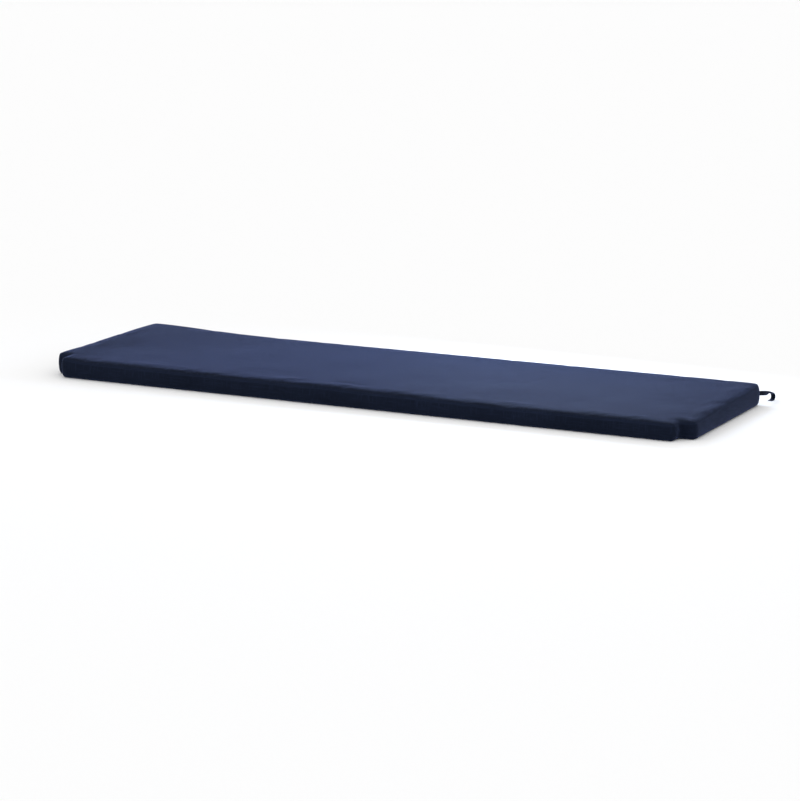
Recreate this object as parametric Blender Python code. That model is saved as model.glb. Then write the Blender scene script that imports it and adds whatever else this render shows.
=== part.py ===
"""A long boxed seat cushion for a garden bench, with a tape tie at each rear corner.

The cushion is one foam-filled cover: a top panel, a bottom panel and a band sewn between them. Its two
front corners are cut out, so that it fits between the bench's front posts and widens behind them. A flat
tape tie is caught in the band's upright seam at each rear corner and trails behind the cushion.

Metres, +X along the length, +Y to the back, +Z up. The origin is the middle of the flat underside.
"""
import math
from collections import namedtuple

import bmesh
import bpy
from mathutils import Vector

# The cushion's outline, seen from above
WIDTH_BEHIND_POSTS = 1.522
WIDTH_BETWEEN_POSTS = 1.457
DEPTH = 0.433
CUTOUT_DEPTH = 0.034
FRONT_CORNER_RADIUS = 0.014
CUTOUT_RADIUS = 0.008
REAR_CORNER_RADIUS = 0.021
LONG_EDGE_PIECES = 28
SHORT_EDGE_PIECES = 7

# Its thickness
BAND_HEIGHT = 0.0435
BAND_BULGE = 0.0006
CROWN_HEIGHT = 0.0515
LEFT_TO_RIGHT_TAPER = 0.025
PLUMP_CORNER_LIFT = 0.0095
PLUMP_CORNER_REACH = (0.137, 0.165)

# The foam has softened with use: the top sinks toward the front edge, most of all right of the middle, but
# hardly at the left end.
FRONT_SINK = 0.0085
FRONT_SINK_SPREAD = 0.8
SEAT_SINK = 0.0035
SEAT_PLACE = 0.42
SEAT_WIDTH = 0.28
FIRM_LEFT_END = 0.065
FIRM_SHARE = 0.9

# The ties
TIE_WIDTH = 0.010
TIE_THICKNESS = 0.0012
TIE_PIECES_PER_ROW = 4
TIE_GAP = 0.0003

# How far each ring of the skin lies inside the seam line, and how high. The share is of the band's
# height up to the upper seam, and of the crown's rise from there on.
Ring = namedtuple("Ring", "name inset share on_crown")
RINGS = (
    Ring("edge of the flat underside", 0.014, 0.00, False),
    Ring("underside's rolled edge", 0.006, 0.02, False),
    Ring("lower seam", 0.002, 0.09, False),
    Ring("band, low", 0.0003, 0.26, False),
    Ring("band, middle", -BAND_BULGE, 0.52, False),
    Ring("band, high", 0.0003, 0.80, False),
    Ring("upper seam", 0.002, 1.00, False),
    Ring("shoulder", 0.0045, 0.35, True),
    Ring("upper shoulder", 0.008, 0.62, True),
    Ring("shoulder's end", 0.013, 0.79, True),
    Ring("edge of the top", 0.022, 0.86, True),
    Ring("top", 0.038, 0.89, True),
    Ring("top", 0.065, 0.91, True),
    Ring("top", 0.105, 0.94, True),
    Ring("top", 0.145, 0.97, True),
    Ring("middle of the top", 0.185, 1.00, True),
)

# The corners of the right half, front to back: where each lies, its radius, the angles that its arc
# starts and ends at, and the sides on which the arc's centre lies.
Corner = namedtuple("Corner", "x y radius start end centre_x centre_y pieces")

# A tie's middle line on the right-hand side, from its seam at the band's rear corner to its free end: how
# far out to the side and how far back from the seam, the height, and the turn, which is how far the
# tape's width leans over from upright. It leaves the seam on edge, rolls flat, and curls under.
Stop = namedtuple("Stop", "out back height turn")
TIE_ROUTE = (
    Stop(0.0000, 0.0000, 0.0250, 0),
    Stop(0.0030, 0.0040, 0.0249, 0),
    Stop(0.0056, 0.0110, 0.0240, 2),
    Stop(0.0072, 0.0210, 0.0224, 8),
    Stop(0.0080, 0.0330, 0.0204, 25),
    Stop(0.0083, 0.0450, 0.0187, 62),
    Stop(0.0085, 0.0560, 0.0172, 88),
    Stop(0.0086, 0.0640, 0.0135, 90),
    Stop(0.0086, 0.0680, 0.0075, 90),
    Stop(0.0084, 0.0655, 0.0022, 90),
    Stop(0.0080, 0.0590, 0.0009, 90),
    Stop(0.0076, 0.0510, 0.0009, 90),
)


def corners(inset):
    """The four corners of the right half's outline, drawn in by the inset."""
    side, post_side = WIDTH_BEHIND_POSTS / 2 - inset, WIDTH_BETWEEN_POSTS / 2 - inset
    front, back = -DEPTH / 2 + inset, DEPTH / 2 - inset
    wing = front + CUTOUT_DEPTH
    rear_radius = min(REAR_CORNER_RADIUS, 0.45 * (back - wing))
    return (
        Corner(post_side, front, FRONT_CORNER_RADIUS, -90, 0, -1, 1, 4),
        Corner(post_side, wing, CUTOUT_RADIUS, 180, 90, 1, -1, 3),
        Corner(side, wing, FRONT_CORNER_RADIUS, -90, 0, -1, 1, 4),
        Corner(side, back, rear_radius, 0, 90, -1, -1, 6),
    )


def arc(corner):
    """Points round one corner, from its start angle to its end angle."""
    centre_x = corner.x + corner.centre_x * corner.radius
    centre_y = corner.y + corner.centre_y * corner.radius
    points = []
    for step in range(corner.pieces + 1):
        angle = math.radians(corner.start + (corner.end - corner.start) * step / corner.pieces)
        points.append((centre_x + corner.radius * math.cos(angle), centre_y + corner.radius * math.sin(angle)))
    return points


def straight(start, end, pieces):
    """The points between two ends of a straight edge, without the ends."""
    return [tuple(Vector(start).lerp(Vector(end), step / pieces)) for step in range(1, pieces)]


def outline(inset):
    """The cushion's closed outline as points, anticlockwise from the front right corner."""
    front, cutout, wing, rear = (arc(corner) for corner in corners(inset))
    right = front + cutout + wing + straight(wing[-1], rear[0], SHORT_EDGE_PIECES) + rear
    left = [(-x, y) for x, y in reversed(right)]
    return right + straight(right[-1], left[0], LONG_EDGE_PIECES) + left + straight(
        left[-1], right[0], LONG_EDGE_PIECES)


def sink(x, y):
    """How far the used top has sunk at a place."""
    to_front = max(0, DEPTH / 2 - y) / DEPTH
    seat = SEAT_SINK * math.exp(-((x - SEAT_PLACE) / SEAT_WIDTH) ** 2)
    in_use = 1 - FIRM_SHARE * math.exp(-((x + WIDTH_BEHIND_POSTS / 2) / FIRM_LEFT_END) ** 2)
    return (FRONT_SINK + seat) * in_use * to_front ** FRONT_SINK_SPREAD


def ring_points(ring):
    """One ring of the skin: the outline at the ring's inset, raised to the local thickness."""
    height = BAND_HEIGHT * ring.share
    if ring.on_crown:
        height = BAND_HEIGHT + (CROWN_HEIGHT - BAND_HEIGHT) * ring.share
    points = []
    for x, y in outline(ring.inset):
        taper = 1 - LEFT_TO_RIGHT_TAPER * x / (WIDTH_BEHIND_POSTS / 2)
        from_corner = ((x + WIDTH_BEHIND_POSTS / 2) / PLUMP_CORNER_REACH[0],
                       (y - DEPTH / 2) / PLUMP_CORNER_REACH[1])
        plump = PLUMP_CORNER_LIFT * math.exp(-(from_corner[0] ** 2 + from_corner[1] ** 2) / 2)
        points.append(Vector((x, y, height * taper + (plump - sink(x, y)) * min(1, height / BAND_HEIGHT))))
    return points


def draw_out(name, rings, material):
    """A closed solid: the first ring is filled, and its face is extruded from ring to ring."""
    bm = bmesh.new()
    place = bm.verts.layers.int.new("place")
    for number, point in enumerate(rings[0]):
        bm.verts.new(point)[place] = number
    start = cap = bm.faces.new(bm.verts)
    for ring in rings[1:]:
        grown = bmesh.ops.extrude_face_region(bm, geom=[cap])["geom"]
        if cap != start:
            bmesh.ops.delete(bm, geom=[cap], context="FACES_ONLY")
        cap = next(part for part in grown if isinstance(part, bmesh.types.BMFace))
        for vert in cap.verts:
            vert.co = ring[vert[place]]
    bmesh.ops.triangulate(bm, faces=[face for face in bm.faces if len(face.verts) > 4])
    bmesh.ops.recalc_face_normals(bm, faces=bm.faces)
    mesh = bpy.data.meshes.new(name)
    bm.to_mesh(mesh)
    bm.free()
    mesh.shade_smooth()
    mesh.set_sharp_from_angle(angle=math.radians(40))
    mesh.materials.append(material)
    piece = bpy.data.objects.new(name, mesh)
    bpy.context.collection.objects.link(piece)
    return piece


def tie_seam():
    """Where the right-hand tie leaves the cushion: the middle of the rear corner's arc, on the band."""
    arm = (REAR_CORNER_RADIUS + TIE_GAP) * math.cos(math.radians(45))
    reach = BAND_BULGE + arm - REAR_CORNER_RADIUS
    return Vector((WIDTH_BEHIND_POSTS / 2 + reach, DEPTH / 2 + reach, 0))


def smooth_route(stops):
    """Points and turns on a smooth curve through a route's stops, close enough for its tightest bend."""
    ends = [stops[0], *stops, stops[-1]]
    places, turns = [], []
    for before, start, end, after in zip(ends, ends[1:], ends[2:], ends[3:]):
        for step in range(TIE_PIECES_PER_ROW):
            t = step / TIE_PIECES_PER_ROW
            weights = (-t + 2 * t**2 - t**3, 2 - 5 * t**2 + 3 * t**3, t + 4 * t**2 - 3 * t**3, t**3 - t**2)
            rows = (before, start, end, after)
            places.append(sum((Vector(row[:3]) * w / 2 for row, w in zip(rows, weights)), Vector()))
            turns.append(start.turn + (end.turn - start.turn) * t)
    return places + [Vector(stops[-1][:3])], turns + [stops[-1].turn]


def tie_rings(side):
    """The tape's four edges at each point of its route. side is 1 on the right and -1 on the left."""
    places, turns = smooth_route(TIE_ROUTE)
    places = [place + tie_seam() for place in places]
    rings = []
    for number, (place, turn) in enumerate(zip(places, turns)):
        along = places[min(number + 1, len(places) - 1)] - places[max(number - 1, 0)]
        lean = math.radians(turn)
        across = Vector((math.sin(lean), 0, math.cos(lean)))
        across = (across - across.project(along)).normalized() * TIE_WIDTH / 2
        through = along.cross(across).normalized() * TIE_THICKNESS / 2
        edges = (across + through, through - across, -across - through, across - through)
        rings.append([Vector((side * point.x, point.y, point.z)) for point in (place + edge for edge in edges)])
    return rings


def fabric(name, red, green, blue):
    """A plain woven cloth in one colour."""
    material = bpy.data.materials.new(name)
    material.use_nodes = True
    shader = material.node_tree.nodes["Principled BSDF"]
    shader.inputs["Base Color"].default_value = (red, green, blue, 1)
    shader.inputs["Roughness"].default_value = 0.85
    shader.inputs["Metallic"].default_value = 0
    return material


for old in list(bpy.data.objects):
    bpy.data.objects.remove(old)

draw_out("cushion", [ring_points(ring) for ring in RINGS], fabric("navy canvas", 0.022, 0.032, 0.085))
draw_out("tie_right", tie_rings(1), fabric("navy tape, right", 0.012, 0.017, 0.045))
draw_out("tie_left", tie_rings(-1), fabric("navy tape, left", 0.012, 0.017, 0.045))
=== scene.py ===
import math

import bmesh
import bpy
import numpy as np
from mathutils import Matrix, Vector, noise


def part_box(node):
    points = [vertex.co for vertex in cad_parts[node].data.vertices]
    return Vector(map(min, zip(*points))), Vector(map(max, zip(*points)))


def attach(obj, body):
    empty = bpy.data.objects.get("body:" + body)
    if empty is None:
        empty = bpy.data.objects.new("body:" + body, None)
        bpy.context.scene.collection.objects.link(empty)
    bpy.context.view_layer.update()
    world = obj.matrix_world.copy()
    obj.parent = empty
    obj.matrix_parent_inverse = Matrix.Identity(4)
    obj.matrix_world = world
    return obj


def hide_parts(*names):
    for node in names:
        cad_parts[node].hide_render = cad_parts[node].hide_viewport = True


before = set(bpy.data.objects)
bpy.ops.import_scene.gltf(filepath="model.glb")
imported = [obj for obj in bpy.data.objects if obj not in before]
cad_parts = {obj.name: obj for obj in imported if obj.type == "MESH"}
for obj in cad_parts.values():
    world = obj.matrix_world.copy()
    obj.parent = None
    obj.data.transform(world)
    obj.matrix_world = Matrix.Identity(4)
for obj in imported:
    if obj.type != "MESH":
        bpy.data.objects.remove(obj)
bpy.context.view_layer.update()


# ---------------------------------------------------------------------------------------------- camera
# A long lens from the front right, low enough to look along the seat: the top shows as a narrow slope
# between the back edge and the band.
CAMERA_PLACE = (2.2642, -4.3177, 0.9604)
CAMERA_AZIMUTH = 27.509
CAMERA_ELEVATION = 11.404
CAMERA_LENS_MM = 102.9

camera = bpy.data.objects.new("camera", bpy.data.cameras.new("camera"))
camera.location = CAMERA_PLACE
camera.rotation_euler = (math.radians(90 - CAMERA_ELEVATION), 0, math.radians(CAMERA_AZIMUTH))
camera.data.lens = CAMERA_LENS_MM
bpy.context.scene.collection.objects.link(camera)
bpy.context.scene.camera = camera


# ---------------------------------------------------------------------------------------------- studio
# A wide matt white floor under an even white sky, with a small softbox low behind the middle of the
# cushion. Its light skims forward over the top and fades toward both ends, and the band turns away from it.
FLOOR_HALF_WIDTH = 60
FLOOR_COLOUR = "fdfdfd"
SKY_COLOUR = "ffffff"
SKY_STRENGTH = 1.0
SOFTBOX_SIZE = (0.7, 0.2)
SOFTBOX_PLACE = Vector((0.22, 0.32, 0.30))
SOFTBOX_AIM = Vector((0.2, 0, 0))
SOFTBOX_WATTS = 4.8
SOFTBOX_COLOUR = "c4daff"


def linear(hex_colour):
    """An sRGB colour such as "1d2438" as linear red, green, blue and full alpha."""
    shares = [int(hex_colour[place:place + 2], 16) / 255 for place in (0, 2, 4)]
    return [share / 12.92 if share <= 0.04045 else ((share + 0.055) / 1.055) ** 2.4 for share in shares] + [1]


def add_node(tree, kind, inputs=None, **settings):
    """Adds a node with its settings. inputs gives a socket its value, or another node's output to read."""
    node = tree.nodes.new(kind)
    for name, value in settings.items():
        setattr(node, name, value)
    for name, value in (inputs or {}).items():
        if isinstance(value, bpy.types.NodeSocket):
            tree.links.new(value, node.inputs[name])
        else:
            node.inputs[name].default_value = value
    return node


def new_object(name, bm, *materials):
    """Makes a mesh object of a bmesh, with its materials."""
    mesh = bpy.data.meshes.new(name)
    bm.to_mesh(mesh)
    bm.free()
    for material in materials:
        mesh.materials.append(material)
    made = bpy.data.objects.new(name, mesh)
    bpy.context.scene.collection.objects.link(made)
    return made


def painted_floor():
    """Matt white studio paint: it throws a soft even light back and takes a soft shadow."""
    material = bpy.data.materials.new("matt white studio paint")
    material.use_nodes = True
    shader = material.node_tree.nodes["Principled BSDF"]
    shader.inputs["Base Color"].default_value = linear(FLOOR_COLOUR)
    shader.inputs["Roughness"].default_value = 0.9
    shader.inputs["Specular IOR Level"].default_value = 0.1
    return material


bm = bmesh.new()
bmesh.ops.create_grid(bm, x_segments=1, y_segments=1, size=FLOOR_HALF_WIDTH)
floor = new_object("floor", bm, painted_floor())

sky = bpy.data.worlds.new("even white sky")
sky.use_nodes = True
sky.node_tree.nodes["Background"].inputs["Color"].default_value = linear(SKY_COLOUR)
sky.node_tree.nodes["Background"].inputs["Strength"].default_value = SKY_STRENGTH
bpy.context.scene.world = sky
bpy.context.scene.view_settings.view_transform = "Standard"

softbox = bpy.data.objects.new("softbox", bpy.data.lights.new("softbox", "AREA"))
softbox.data.shape = "RECTANGLE"
softbox.data.size, softbox.data.size_y = SOFTBOX_SIZE
softbox.data.energy = SOFTBOX_WATTS
softbox.data.color = linear(SOFTBOX_COLOUR)[:3]
softbox.location = SOFTBOX_PLACE
softbox.rotation_euler = (SOFTBOX_AIM - SOFTBOX_PLACE).to_track_quat("-Z", "Y").to_euler()
softbox.visible_camera = False
bpy.context.scene.collection.objects.link(softbox)


# --------------------------------------------------------------------------------------------- cushion
# One long boxed cushion: a top panel and a bottom panel of woven outdoor canvas, with a band sewn
# between them round a slab of soft foam. The front corners are cut out to pass the bench's posts.
CUSHION_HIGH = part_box("cushion")[1]
BAND_BULGE = 0.0006
SEAM_INSET = 0.002
SIDE = CUSHION_HIGH.x - BAND_BULGE - SEAM_INSET
BACK = CUSHION_HIGH.y - BAND_BULGE - SEAM_INSET
FRONT = -BACK
CUTOUT_WIDTH = 0.0325
CUTOUT_DEPTH = 0.034
POST_SIDE = SIDE - CUTOUT_WIDTH
WING = FRONT + CUTOUT_DEPTH
SAME_PLACE = 1e-5

# How it rises: the seams' heights on the band, the crown above the upper seam, the slimmer right-hand
# end, and the plump rear left corner.
LOWER_SEAM_HEIGHT = 0.0039
UPPER_SEAM_HEIGHT = 0.0435
UNDERSIDE_TURN = 0.012
SHOULDER_RISE = 0.0070
SHOULDER_REACH = 0.0050
CROWN_RISE = 0.0008
CROWN_REACH = 0.185
CROWN_FULLNESS = 1.6
RIGHT_TAPER = 0.025
PLUMP_CORNER_LIFT = 0.0095
PLUMP_CORNER_REACH = (0.137, 0.165)

# The foam has softened with use: the top sinks toward the front edge, most of all right of the middle,
# but hardly at the left end. The front seam wanders a little up and down.
FRONT_SINK = 0.0085
FRONT_SINK_SPREAD = 0.8
SEAT_SINK = 0.0035
SEAT_PLACE = 0.42
SEAT_WIDTH = 0.28
FIRM_LEFT_END = 0.065
FIRM_SHARE = 0.9
WANDER_HEIGHT = 0.0015
WANDER_LENGTH = 0.11

# The cloth's rows: even over the panels, and closer beside a seam, where the cloth turns over.
ROW_SPACING = 0.0095
ROWS_BESIDE_SEAM = (0, 0.003, 0.008, 0.016)
BAND_ROWS = 6


def cloth_rows(start, end, seam_at_start, seam_at_end):
    """The places of the cloth's rows from start to end."""
    first = [start + step for step in ROWS_BESIDE_SEAM] if seam_at_start else [start]
    last = [end - step for step in reversed(ROWS_BESIDE_SEAM)] if seam_at_end else [end]
    pieces = max(1, round((last[0] - first[-1]) / ROW_SPACING))
    return [*first, *np.linspace(first[-1], last[0], pieces + 1)[1:-1], *last]


def cut_panels():
    """The bottom panel, the band and the top panel, still flat and square, the top one metre up."""
    wing_columns = cloth_rows(POST_SIDE, SIDE, False, True)
    columns = cloth_rows(-POST_SIDE, POST_SIDE, True, True)
    columns = [-x for x in reversed(wing_columns[1:])] + columns + wing_columns[1:]
    rows = cloth_rows(FRONT, WING, True, False)[:-1] + cloth_rows(WING, BACK, True, True)
    bm = bmesh.new()
    bmesh.ops.create_grid(bm, x_segments=len(columns) - 1, y_segments=len(rows) - 1, size=1)
    for vert in bm.verts:
        column = round((vert.co.x + 1) / 2 * (len(columns) - 1))
        row = round((vert.co.y + 1) / 2 * (len(rows) - 1))
        vert.co = (columns[column], rows[row], 0)
    centres = {face: face.calc_center_median() for face in bm.faces}
    cut_out = [face for face, centre in centres.items() if abs(centre.x) > POST_SIDE and centre.y < WING]
    bmesh.ops.delete(bm, geom=cut_out, context="FACES")
    grown = bmesh.ops.extrude_face_region(bm, geom=bm.faces)["geom"]
    top = [part for part in grown if isinstance(part, bmesh.types.BMVert)]
    bmesh.ops.translate(bm, verts=top, vec=(0, 0, 1))
    uprights = [edge for edge in bm.edges if abs(edge.verts[0].co.z - edge.verts[1].co.z) > 0.5]
    bmesh.ops.subdivide_edges(bm, edges=uprights, cuts=BAND_ROWS - 1, use_grid_fill=True)
    bmesh.ops.recalc_face_normals(bm, faces=bm.faces)
    return bm


def put_in_order(bm):
    """Evens out the band's rows, and numbers the points by their place and the edges and faces by their
    points. The modelling operators leave an order of their own, which would change how the cloth settles."""
    for vert in bm.verts:
        vert.co.z = round(vert.co.z * BAND_ROWS) / BAND_ROWS
    for rank, vert in enumerate(sorted(bm.verts, key=lambda vert: tuple(vert.co))):
        vert.index = rank
    bm.verts.sort()
    for parts in (bm.edges, bm.faces):
        ordered = sorted(parts, key=lambda part: sorted(vert.index for vert in part.verts))
        for rank, part in enumerate(ordered):
            part.index = rank
        parts.sort()


def mark_seams(bm):
    """Marks the two seams round the band, and its upright seams at the rear corners."""
    for edge in bm.edges:
        on_panels = {abs(face.normal.z) > 0.5 for face in edge.link_faces}
        first, last = (vert.co for vert in edge.verts)
        upright = first.xy == last.xy
        at_rear_corner = abs(first.x) > SIDE - SAME_PLACE and first.y > BACK - SAME_PLACE
        edge.seam = len(on_panels) == 2 or (upright and at_rear_corner)


def lay_out_cloth(bm):
    """The cut pieces as a UV map in metres: the panels from above, the band unrolled along its length."""
    cut = bm.loops.layers.uv.new("cut")
    for face in bm.faces:
        for corner in face.loops:
            x, y, height = corner.vert.co
            if abs(face.normal.z) > 0.5:
                corner[cut].uv = (x, y)
            elif face.normal.y > 0.5:
                corner[cut].uv = (x, height * UPPER_SEAM_HEIGHT + BACK)
            else:
                corner[cut].uv = (x + math.copysign(y - FRONT, x), height * UPPER_SEAM_HEIGHT + FRONT)


# The corners of the right half, seen from above: each arc's centre, its radius, and the way to the corner.
CORNERS = (
    (POST_SIDE - 0.012, FRONT + 0.012, 0.012, 1, -1),
    (POST_SIDE + 0.008, WING - 0.008, 0.008, -1, 1),
    (SIDE - 0.012, WING + 0.012, 0.012, 1, -1),
    (SIDE - 0.019, BACK - 0.019, 0.019, 1, 1),
)


def round_corners(bm):
    """Draws the square corners of the outline in to arcs."""
    for vert in bm.verts:
        side = math.copysign(1, vert.co.x)
        for centre_x, centre_y, radius, to_x, to_y in CORNERS:
            across = (abs(vert.co.x) - centre_x) * to_x
            along = (vert.co.y - centre_y) * to_y
            if min(across, along) > 0 and max(across, along) < radius + SAME_PLACE:
                share = max(across, along) / math.hypot(across, along)
                vert.co.x = side * (centre_x + across * to_x * share)
                vert.co.y = centre_y + along * to_y * share


def swell(distance):
    """How much of the crown's full rise the top has at a distance from the seam: shoulder, then crown."""
    shoulder = SHOULDER_RISE * (1 - math.exp(-distance / SHOULDER_REACH))
    crown = CROWN_RISE * math.sin(min(1, distance / CROWN_REACH) * math.pi / 2) ** CROWN_FULLNESS
    return (shoulder + crown) / (SHOULDER_RISE + CROWN_RISE)


def fill_cushion(bm):
    """Raises the flat panels and the band to the filled cushion's shape, and notes how far each point of
    the cloth lies from the nearest seam."""
    seam_distance = bm.verts.layers.float.new("seam_distance")
    outward = {}
    for vert in bm.verts:
        walls = [face.normal for face in vert.link_faces if abs(face.normal.z) < 0.5]
        if walls:
            outward[vert] = sum(walls, Vector()).normalized()
    round_corners(bm)
    for vert in bm.verts:
        x, y, share = vert.co
        from_cutout = math.hypot(max(0, POST_SIDE - abs(x)), max(0, y - WING))
        distances = [max(0, distance) for distance in (SIDE - abs(x), BACK - y, y - FRONT, from_cutout)]
        taper = 1 - RIGHT_TAPER * x / SIDE
        from_corner = ((x + SIDE) / PLUMP_CORNER_REACH[0], (y - BACK) / PLUMP_CORNER_REACH[1])
        plump = PLUMP_CORNER_LIFT * math.exp(-(from_corner[0] ** 2 + from_corner[1] ** 2) / 2)
        to_front = max(0, BACK - y) / (BACK - FRONT)
        wander = WANDER_HEIGHT * noise.noise((x / WANDER_LENGTH, y / WANDER_LENGTH, 0)) * to_front
        seat = SEAT_SINK * math.exp(-((x - SEAT_PLACE) / SEAT_WIDTH) ** 2)
        in_use = 1 - FIRM_SHARE * math.exp(-((x + SIDE) / FIRM_LEFT_END) ** 2)
        sink = (FRONT_SINK + seat) * in_use * to_front ** FRONT_SINK_SPREAD
        vert[seam_distance] = min(distances)
        if vert in outward:
            height = LOWER_SEAM_HEIGHT + (UPPER_SEAM_HEIGHT - LOWER_SEAM_HEIGHT) * share
            vert.co += outward[vert] * (SEAM_INSET + BAND_BULGE) * 4 * share * (1 - share)
            from_rear_corner = SIDE - abs(x) + BACK - y
            from_panels = min(height - LOWER_SEAM_HEIGHT, UPPER_SEAM_HEIGHT - height)
            vert[seam_distance] = min(from_panels, from_rear_corner)
        elif share > 0.5:
            rise = math.prod(swell(distance) for distance in distances)
            height = UPPER_SEAM_HEIGHT + (SHOULDER_RISE + CROWN_RISE) * rise
        else:
            height = LOWER_SEAM_HEIGHT * max(0, 1 - min(distances) / UNDERSIDE_TURN) ** 3
        vert.co.z = height * taper + (plump + wander - sink) * min(1, height / UPPER_SEAM_HEIGHT)


bm = cut_panels()
put_in_order(bm)
mark_seams(bm)
lay_out_cloth(bm)
fill_cushion(bm)


# How the cover settles over its filling. The filling holds each point of the cloth near its place with a
# soft spring, and the pressure fills the cover out. The top panel is eased in to its seam: its edge is a
# little longer than the band it is sewn to, more in some places than in others, so it puckers there.
SETTLE_FRAMES = 20
FILLING_PRESSURE = 0.03
FILLING_STIFFNESS = 0.1
FILLING_HOLD = 0.15
SEAM_HOLD = 0.8
CLOTH_BENDING = 0.1
CLOTH_QUALITY = 6
EASE = 0.004
EASED_WIDTH = 0.035
EASE_PATCH = 0.09
CLOTH_UNEVENNESS = 0.0001
UNEVEN_PATCH = 0.012
ON_SURFACE = 0.0005
TOP_FACES_UP = 0.3
LARGEST_MOVE = 0.006


def settle_cloth(cover):
    """Runs the cover as cloth over its filling, and keeps where it settles."""
    for vert in cover.data.vertices:
        if vert.co.z > ON_SURFACE:
            vert.co += vert.normal * CLOTH_UNEVENNESS * noise.noise(vert.co / UNEVEN_PATCH)
    rest = np.array([vert.co for vert in cover.data.vertices])
    held = cover.vertex_groups.new(name="held by the filling")
    true_length = cover.vertex_groups.new(name="cut to the seam's length")
    for i, point in enumerate(cover.data.attributes["seam_distance"].data):
        on_seam = point.value < SAME_PLACE
        hold = 1 if rest[i][2] < ON_SURFACE else SEAM_HOLD if on_seam else FILLING_HOLD
        held.add([i], hold, "REPLACE")
        patch = 0.5 + 0.5 * noise.noise(Vector(rest[i]) / EASE_PATCH)
        on_top = cover.data.vertices[i].normal.z > TOP_FACES_UP and not on_seam
        eased = max(0, 1 - point.value / EASED_WIDTH) * patch if on_top else 0
        true_length.add([i], 1 - eased, "REPLACE")
    cloth = cover.modifiers.new("cloth", "CLOTH")
    cloth.settings.quality = CLOTH_QUALITY
    cloth.settings.bending_stiffness = CLOTH_BENDING
    cloth.settings.use_pressure = True
    cloth.settings.uniform_pressure_force = FILLING_PRESSURE
    cloth.settings.vertex_group_mass = held.name
    cloth.settings.pin_stiffness = FILLING_STIFFNESS
    cloth.settings.vertex_group_shrink = true_length.name
    cloth.settings.shrink_min = -EASE
    cloth.settings.shrink_max = 0
    cloth.settings.effector_weights.gravity = 0
    cloth.collision_settings.use_collision = False
    cloth.point_cache.frame_start, cloth.point_cache.frame_end = 1, SETTLE_FRAMES
    for step in range(1, SETTLE_FRAMES + 1):
        bpy.context.scene.frame_set(step)
    settled = cover.evaluated_get(bpy.context.evaluated_depsgraph_get()).to_mesh()
    moved = np.array([vert.co for vert in settled.vertices]) - rest
    cover.modifiers.remove(cloth)
    cover.vertex_groups.clear()
    bpy.context.scene.frame_set(1)
    reach = np.linalg.norm(moved, axis=1)
    kept = moved * np.minimum(1, LARGEST_MOVE / np.maximum(reach, SAME_PLACE))[:, None]
    cover.data.vertices.foreach_set("co", (rest + kept).ravel())
    cover.data.update()


# The seams: the cloth on both sides is folded in to its seam allowance, which leaves a fine groove.
SEAM_WIDTH = 0.0016
SEAM_FLOOR = 0.0005
SEAM_DEPTH = 0.0010


def sew_seams(cover):
    """Cuts a groove along each marked seam: the edge is bevelled to a strip, and the strip is sunk."""
    bm = bmesh.new()
    bm.from_mesh(cover.data)
    seams = [edge for edge in bm.edges if edge.seam]
    strip = bmesh.ops.bevel(bm, geom=seams, offset=SEAM_WIDTH / 2, offset_type="OFFSET", affect="EDGES",
                            segments=1, profile=0.5, material=-1)["faces"]
    bmesh.ops.inset_region(bm, faces=strip, thickness=SEAM_FLOOR, depth=-SEAM_DEPTH, use_even_offset=True)
    bm.to_mesh(cover.data)
    bm.free()


# The canvas. Its threads are 0.6 mm apart, which is too fine to show, so the weave is drawn three times
# as coarse. A slub is a thicker stretch of thread, a few centimetres long.
CANVAS_BLOOM = "9db2f9"
THREAD_SPACING = 0.0018
THREAD_RELIEF = 0.00012
SLUB_WIDTH = 0.0025
SLUB_LENGTH = 0.040
SLUB_RELIEF = 0.0001
SHADE_PATCH = 0.16
WAVE_SCALE_OF_ONE_METRE = math.pi / 10
# The share of paler navy at a seam or fold: partly rubbed wear, partly a painted highlight for the light
# streak along the seams' shoulders.
RUBBED_AND_HIGHLIGHT_SHARE = 0.3


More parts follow.
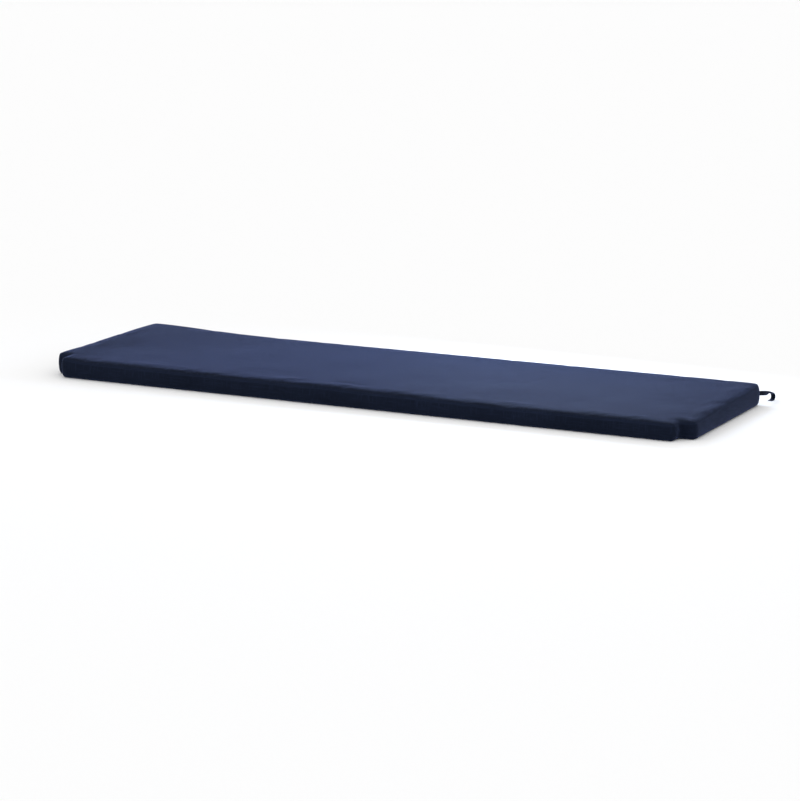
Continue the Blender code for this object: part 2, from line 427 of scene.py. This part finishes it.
def woven_canvas(name, navy, slub_navy, worn_and_highlight_navy, worn_and_highlight_reach):
    """Solution-dyed acrylic canvas, plain woven: matt and nearly black face on, with a soft blue bloom
    where it is seen along its surface, and paler near its seams and folds: partly rubbed wear, partly a
    painted highlight along the seams' shoulders."""
    material = bpy.data.materials.new(name)
    material.use_nodes = True
    tree = material.node_tree
    cut = add_node(tree, "ShaderNodeUVMap", uv_map="cut").outputs["UV"]
    threads = {"Vector": cut, "Scale": WAVE_SCALE_OF_ONE_METRE / THREAD_SPACING}
    warp = add_node(tree, "ShaderNodeTexWave", threads, bands_direction="X")
    weft = add_node(tree, "ShaderNodeTexWave", threads, bands_direction="Y")
    over = add_node(tree, "ShaderNodeTexChecker", {"Vector": cut, "Scale": 1 / THREAD_SPACING})
    weave = add_node(tree, "ShaderNodeMix", {
        "Factor": over.outputs["Fac"], "A": warp.outputs["Fac"], "B": weft.outputs["Fac"]})
    slubs = []
    for scale in ((1 / SLUB_LENGTH, 1 / SLUB_WIDTH, 1), (1 / SLUB_WIDTH, 1 / SLUB_LENGTH, 1)):
        drawn = add_node(tree, "ShaderNodeMapping", {"Vector": cut, "Scale": scale})
        slubs.append(add_node(tree, "ShaderNodeTexNoise", {
            "Vector": drawn.outputs["Vector"], "Scale": 1, "Detail": 2}).outputs["Fac"])
    thicker = add_node(tree, "ShaderNodeMath", {0: slubs[0], 1: slubs[1]}, operation="MAXIMUM")
    slub = add_node(tree, "ShaderNodeMapRange", {
        "Value": thicker.outputs["Value"], "From Min": 0.5, "From Max": 0.8}).outputs["Result"]
    dyed = add_node(tree, "ShaderNodeMix", {
        "Factor": slub, 6: linear(navy), 7: linear(slub_navy)}, data_type="RGBA").outputs[2]
    patches = add_node(tree, "ShaderNodeTexNoise", {"Vector": cut, "Scale": 1 / SHADE_PATCH, "Detail": 3})
    shade = add_node(tree, "ShaderNodeMapRange", {
        "Value": patches.outputs["Fac"], "From Min": 0.3, "From Max": 0.7, "To Min": 0.85, "To Max": 1.15})
    shaded = add_node(tree, "ShaderNodeMix", {
        "Factor": 1.0, 6: dyed, 7: shade.outputs["Result"]},
        data_type="RGBA", blend_type="MULTIPLY").outputs[2]
    # Paler toward the seams and folds: rubbed wear, and partly a painted highlight along the seams'
    # shoulders.
    edge = add_node(tree, "ShaderNodeAttribute", attribute_name="seam_distance").outputs["Fac"]
    rubbed_and_highlight = add_node(tree, "ShaderNodeMapRange", {
        "Value": edge, "From Min": 0.0, "From Max": worn_and_highlight_reach, "To Min": RUBBED_AND_HIGHLIGHT_SHARE, "To Max": 0.0})
    base = add_node(tree, "ShaderNodeMix", {
        "Factor": rubbed_and_highlight.outputs["Result"], 6: shaded, 7: linear(worn_and_highlight_navy)}, data_type="RGBA").outputs[2]
    raised = add_node(tree, "ShaderNodeBump", {
        "Strength": 1.0, "Distance": THREAD_RELIEF, "Height": weave.outputs["Result"]})
    surface = add_node(tree, "ShaderNodeBump", {
        "Strength": 1.0, "Distance": SLUB_RELIEF, "Height": slub, "Normal": raised.outputs["Normal"]})
    shader = tree.nodes["Principled BSDF"]
    tree.links.new(base, shader.inputs["Base Color"])
    tree.links.new(surface.outputs["Normal"], shader.inputs["Normal"])
    shader.inputs["Roughness"].default_value = 0.8
    shader.inputs["Specular IOR Level"].default_value = 0.03
    shader.inputs["Sheen Weight"].default_value = 0.52
    shader.inputs["Sheen Roughness"].default_value = 0.22
    shader.inputs["Sheen Tint"].default_value = linear(CANVAS_BLOOM)
    return material


# The fourth colour is the paler navy near the seams: partly rubbed wear, partly a painted highlight.
canvas = woven_canvas("navy outdoor canvas", "121826", "1a2133", "242d43", 0.005)
cover = new_object("cushion_cover", bm, canvas)
settle_cloth(cover)
sew_seams(cover)
cover.data.shade_smooth()
smooth = cover.modifiers.new("smooth cloth", "SUBSURF")
smooth.levels = smooth.render_levels = 1
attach(cover, "root")
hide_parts("cushion")


# ------------------------------------------------------------------------------------------------ ties
# At each rear corner a flat tape is caught in the band's upright seam: a strip of the same canvas folded
# to a quarter of its width and stitched along both edges. It trails back and its free end curls under.
TIE_WIDTH = 0.010
TIE_THICKNESS = 0.0012
TIE_STATIONS = 96
TIE_COLUMNS = 12
TIE_CAUGHT = 0.0013
TIE_GAP = 0.0003
REAR_CORNER_RADIUS = 0.021
TAPE_EDGE_ROUND = 0.0006
TAPE_FOLD_SHARE = 0.55
ROUTE_STEPS = 40

# The right-hand tie's middle line, from its seam to its free end: how far out to the side and how far back
# from the seam, the height, and how far the tape's width leans over from upright, in degrees.
TIE_ROUTE = (
    (-TIE_CAUGHT * math.cos(math.radians(45)), -TIE_CAUGHT * math.cos(math.radians(45)), 0.0250, 0),
    (0.0000, 0.0000, 0.0250, 0),
    (0.0030, 0.0040, 0.0249, 0),
    (0.0056, 0.0110, 0.0240, 2),
    (0.0072, 0.0210, 0.0224, 8),
    (0.0080, 0.0330, 0.0204, 25),
    (0.0083, 0.0450, 0.0187, 62),
    (0.0085, 0.0560, 0.0172, 88),
    (0.0086, 0.0640, 0.0135, 90),
    (0.0086, 0.0680, 0.0075, 90),
    (0.0084, 0.0655, 0.0022, 90),
    (0.0080, 0.0590, 0.0009, 90),
    (0.0076, 0.0510, 0.0009, 90),
)
TIE_REACH = BAND_BULGE + (REAR_CORNER_RADIUS + TIE_GAP) * math.cos(math.radians(45)) - REAR_CORNER_RADIUS
TIE_SEAM = Vector((CUSHION_HIGH.x - BAND_BULGE + TIE_REACH, CUSHION_HIGH.y - BAND_BULGE + TIE_REACH, 0))


def smooth_route(stops, pieces):
    """Even steps along the smooth curve through the stops, and the curve's length."""
    stops = np.array(stops)
    ends = np.vstack([stops[:1], stops, stops[-1:]])
    fine = []
    for before, start, end, after in zip(ends, ends[1:], ends[2:], ends[3:]):
        for t in np.linspace(0, 1, ROUTE_STEPS, endpoint=False):
            bend = (2 * before - 5 * start + 4 * end - after) * t**2
            twist = (3 * start - before - 3 * end + after) * t**3
            fine.append(0.5 * (2 * start + (end - before) * t + bend + twist))
    fine = np.array([*fine, stops[-1]])
    travelled = np.concatenate([[0], np.cumsum(np.linalg.norm(np.diff(fine[:, :3], axis=0), axis=1))])
    wanted = np.linspace(0, travelled[-1], pieces + 1)
    return np.column_stack([np.interp(wanted, travelled, column) for column in fine.T]), travelled[-1]


tie_route, TIE_LENGTH = smooth_route(TIE_ROUTE, TIE_STATIONS)


def lay_on_route(bm, side):
    """Bends flat work onto a tie's route. x, y and z are metres along it, across it and off its middle."""
    for vert in bm.verts:
        at = vert.co.x / TIE_LENGTH * TIE_STATIONS
        here = max(0, min(int(at), TIE_STATIONS - 1))
        row = tie_route[here] + (tie_route[here + 1] - tie_route[here]) * (at - here)
        ahead, behind = tie_route[min(here + 2, TIE_STATIONS)], tie_route[max(here - 1, 0)]
        forward = Vector(ahead[:3] - behind[:3]).normalized()
        lean = math.radians(row[3])
        across = Vector((math.sin(lean), 0, math.cos(lean)))
        across = (across - across.project(forward)).normalized()
        place = TIE_SEAM + Vector(row[:3]) + across * vert.co.y + forward.cross(across) * vert.co.z
        vert.co = (side * place.x, place.y, place.z)
    bmesh.ops.recalc_face_normals(bm, faces=bm.faces)


def folded_tape(bm):
    """The tape, flat: thinner toward its folded edges, with its cloth laid out in metres."""
    bmesh.ops.create_grid(bm, x_segments=TIE_STATIONS, y_segments=TIE_COLUMNS, size=1)
    for vert in bm.verts:
        vert.co = ((vert.co.x + 1) / 2 * TIE_LENGTH, vert.co.y / 2 * TIE_WIDTH, -TIE_THICKNESS / 2)
    grown = bmesh.ops.extrude_face_region(bm, geom=bm.faces)["geom"]
    top = [part for part in grown if isinstance(part, bmesh.types.BMVert)]
    bmesh.ops.translate(bm, verts=top, vec=(0, 0, TIE_THICKNESS))
    cut = bm.loops.layers.uv.new("cut")
    seam_distance = bm.verts.layers.float.new("seam_distance")
    for face in bm.faces:
        for corner in face.loops:
            corner[cut].uv = corner.vert.co.xy
    for vert in bm.verts:
        from_fold = TIE_WIDTH / 2 - abs(vert.co.y)
        vert[seam_distance] = from_fold
        vert.co.z *= TAPE_FOLD_SHARE + (1 - TAPE_FOLD_SHARE) * min(1, from_fold / TAPE_EDGE_ROUND)


# The thread: two rows of small stitches on each face, and one row across the free end. A stitch lies in the
# cloth, and dips under it at both ends.
STITCH_PITCH = 0.0025
STITCH_LENGTH = 0.0019
THREAD_THICKNESS = 0.00042
STITCH_FROM_EDGE = 0.0014
STITCH_FROM_END = 0.0040
STITCH_SUNK = 0.00008


def sew_stitch(bm, x, y, face, length_way):
    """One stitch on a face of the tape: a small closed spindle, along the tape or across it."""
    stitch = bmesh.ops.create_uvsphere(bm, u_segments=6, v_segments=4, radius=0.5)["verts"]
    middle = face * (TIE_THICKNESS / 2 - STITCH_SUNK)
    for vert in stitch:
        across = vert.co.x * THREAD_THICKNESS
        along = vert.co.z * STITCH_LENGTH
        height = middle + vert.co.y * THREAD_THICKNESS
        vert.co = (x + along, y + across, height) if length_way else (x + across, y + along, height)


def sew_tape(bm):
    """All the stitches of one tie."""
    row = TIE_WIDTH / 2 - STITCH_FROM_EDGE
    count = int((TIE_LENGTH - STITCH_FROM_END - TIE_CAUGHT) / STITCH_PITCH)
    for face in (-1, 1):
        for number in range(count):
            for y in (-row, row):
                sew_stitch(bm, TIE_LENGTH - STITCH_FROM_END - (number + 0.5) * STITCH_PITCH, y, face, True)
        for y in np.arange(-row + STITCH_PITCH / 2, row, STITCH_PITCH):
            sew_stitch(bm, TIE_LENGTH - STITCH_FROM_END, y, face, False)


def sewing_thread():
    """Bonded polyester thread, a shade paler than the canvas: smooth enough for a soft glint."""
    material = bpy.data.materials.new("navy polyester thread")
    material.use_nodes = True
    tree = material.node_tree
    place = add_node(tree, "ShaderNodeTexCoord").outputs["Object"]
    uneven = add_node(tree, "ShaderNodeTexNoise", {"Vector": place, "Scale": 1 / 0.004, "Detail": 1})
    colour = add_node(tree, "ShaderNodeMix", {
        "Factor": uneven.outputs["Fac"], 6: linear("1b2032"), 7: linear("2f3650")},
        data_type="RGBA").outputs[2]
    shader = tree.nodes["Principled BSDF"]
    tree.links.new(colour, shader.inputs["Base Color"])
    shader.inputs["Roughness"].default_value = 0.5
    shader.inputs["Specular IOR Level"].default_value = 0.3
    return material


tape_canvas = woven_canvas("folded navy canvas tape", "101622", "181f2e", "242d43", 0.0012)
thread = sewing_thread()
for hand, side in (("right", 1), ("left", -1)):
    bm = bmesh.new()
    folded_tape(bm)
    lay_on_route(bm, side)
    tape = new_object(f"tie_{hand}_tape", bm, tape_canvas)
    tape.data.shade_smooth()
    soft = tape.modifiers.new("soft folds", "SUBSURF")
    soft.levels = soft.render_levels = 1
    bm = bmesh.new()
    sew_tape(bm)
    lay_on_route(bm, side)
    stitching = new_object(f"tie_{hand}_stitching", bm, thread)
    stitching.data.shade_smooth()
    for piece in (tape, stitching):
        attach(piece, "root")
    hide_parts(f"tie_{hand}")
